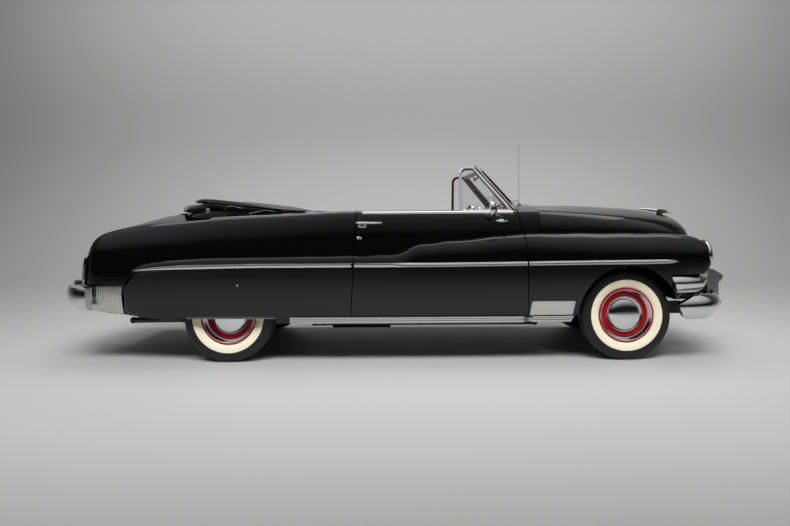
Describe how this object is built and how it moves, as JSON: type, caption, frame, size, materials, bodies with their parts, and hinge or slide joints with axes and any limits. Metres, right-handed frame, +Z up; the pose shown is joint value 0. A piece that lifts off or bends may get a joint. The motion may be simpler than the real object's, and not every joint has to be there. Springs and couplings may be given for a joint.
{
  "type": "two-door convertible car",
  "caption": "Full-size 1950s convertible with pontoon fenders, opening doors, hood and trunk, steered front wheels and its fabric top folded.",
  "frame": {"origin": "on the ground, midway along the overall length and on the centre plane", "axes": "+X forward, +Y to the car's left, +Z up"},
  "size_m": [5.253, 2.116, 1.7899],
  "materials": {
    "black_enamel": "gloss black enamel",
    "chrome": "polished chrome",
    "stainless": "polished stainless",
    "glass": "clear laminated glass",
    "lamp_glass": "fluted lamp glass",
    "red_lens": "moulded red lens",
    "red_leather": "pleated red leather",
    "black_canvas": "black canvas",
    "red_enamel": "gloss red enamel",
    "tyre": "black tread with white sidewall",
    "cast_iron": "rough cast",
    "frame_steel": "satin chassis black",
    "maroon_enamel": "gloss maroon enamel",
    "wheel_plastic": "moulded rim"
  },
  "bodies": {
    "root": {"chassis_frame": "frame_steel", "floor_pan": "frame_steel", "cowl": "black_enamel", "front_fender_left": "black_enamel", "front_fender_right": "black_enamel", "nose_panel": "black_enamel", "grille": "chrome", "front_bumper": "chrome", "headlamps": "lamp_glass", "rear_quarter_left": "black_enamel", "rear_quarter_right": "black_enamel", "rear_deck": "black_enamel", "rear_bumper": "chrome", "fender_skirts": "black_enamel", "sills": "stainless", "windshield_frame": "chrome", "windshield_glass": "glass", "dashboard": "maroon_enamel", "front_seat_frame": "frame_steel", "front_seat_cushion": "red_leather", "front_seat_backs": "red_leather", "rear_seat_cushion": "red_leather", "rear_seat_back": "red_leather", "folded_top": "black_canvas", "engine": "cast_iron", "rear_axle": "cast_iron", "front_suspension": "cast_iron", "exhaust": "frame_steel", "fuel_tank": "frame_steel", "tail_lamps": "red_lens", "antenna": "chrome"},
    "hood": {"hood": "black_enamel", "hood_ornament": "chrome"},
    "trunk_lid": {"trunk_lid": "black_enamel"},
    "door_left": {"door_left": "black_enamel", "vent_window_left": "chrome", "mirror_left": "chrome"},
    "door_right": {"door_right": "black_enamel", "vent_window_right": "chrome", "mirror_right": "chrome"},
    "knuckle_left": {"knuckle_left": "cast_iron"},
    "knuckle_right": {"knuckle_right": "cast_iron"},
    "steering_wheel": {"steering_wheel": "wheel_plastic"},
    "wheel_front_left": {"wheel_front_left": "red_enamel", "tyre_front_left": "tyre"},
    "wheel_front_right": {"wheel_front_right": "red_enamel", "tyre_front_right": "tyre"},
    "wheel_rear_left": {"wheel_rear_left": "red_enamel", "tyre_rear_left": "tyre"},
    "wheel_rear_right": {"wheel_rear_right": "red_enamel", "tyre_rear_right": "tyre"}
  },
  "joints": [
    {"name": "hood_hinge", "type": "hinge", "parent": "root", "child": "hood", "pos_m": [1.0835, 0, 1.188], "axis": [0, -1, 0], "range_deg": [0, 45]},
    {"name": "trunk_hinge", "type": "hinge", "parent": "root", "child": "trunk_lid", "pos_m": [-1.8625, 0, 1.135], "axis": [0, 1, 0], "range_deg": [0, 65]},
    {"name": "door_left_hinge", "type": "hinge", "parent": "root", "child": "door_left", "pos_m": [0.96, 0.945, 0.7], "axis": [0, 0, -1], "range_deg": [0, 65]},
    {"name": "door_right_hinge", "type": "hinge", "parent": "root", "child": "door_right", "pos_m": [0.96, -0.945, 0.7], "axis": [0, 0, 1], "range_deg": [0, 65]},
    {"name": "steer_left", "type": "hinge", "parent": "root", "child": "knuckle_left", "pos_m": [1.734, 0.64, 0.34], "axis": [0, 0, 1], "range_deg": [-28, 28]},
    {"name": "steer_right", "type": "hinge", "parent": "root", "child": "knuckle_right", "pos_m": [1.734, -0.64, 0.34], "axis": [0, 0, 1], "range_deg": [-28, 28]},
    {"name": "steering_wheel_turn", "type": "hinge", "parent": "root", "child": "steering_wheel", "pos_m": [0.54, 0.372, 0.996], "axis": [-0.8829, 0, 0.4695], "range_deg": [-448, 448]},
    {"name": "wheel_front_left_spin", "type": "hinge", "parent": "knuckle_left", "child": "wheel_front_left", "pos_m": [1.734, 0.743, 0.34], "axis": [0, 1, 0], "continuous": true},
    {"name": "wheel_front_right_spin", "type": "hinge", "parent": "knuckle_right", "child": "wheel_front_right", "pos_m": [1.734, -0.743, 0.34], "axis": [0, 1, 0], "continuous": true},
    {"name": "wheel_rear_left_spin", "type": "hinge", "parent": "root", "child": "wheel_rear_left", "pos_m": [-1.263, 0.762, 0.34], "axis": [0, 1, 0], "continuous": true},
    {"name": "wheel_rear_right_spin", "type": "hinge", "parent": "root", "child": "wheel_rear_right", "pos_m": [-1.263, -0.762, 0.34], "axis": [0, 1, 0], "continuous": true}
  ],
  "couplings": [
    {"joint": "steer_right", "follows": "steer_left", "ratio": 1},
    {"joint": "steering_wheel_turn", "follows": "steer_left", "ratio": 16}
  ]
}
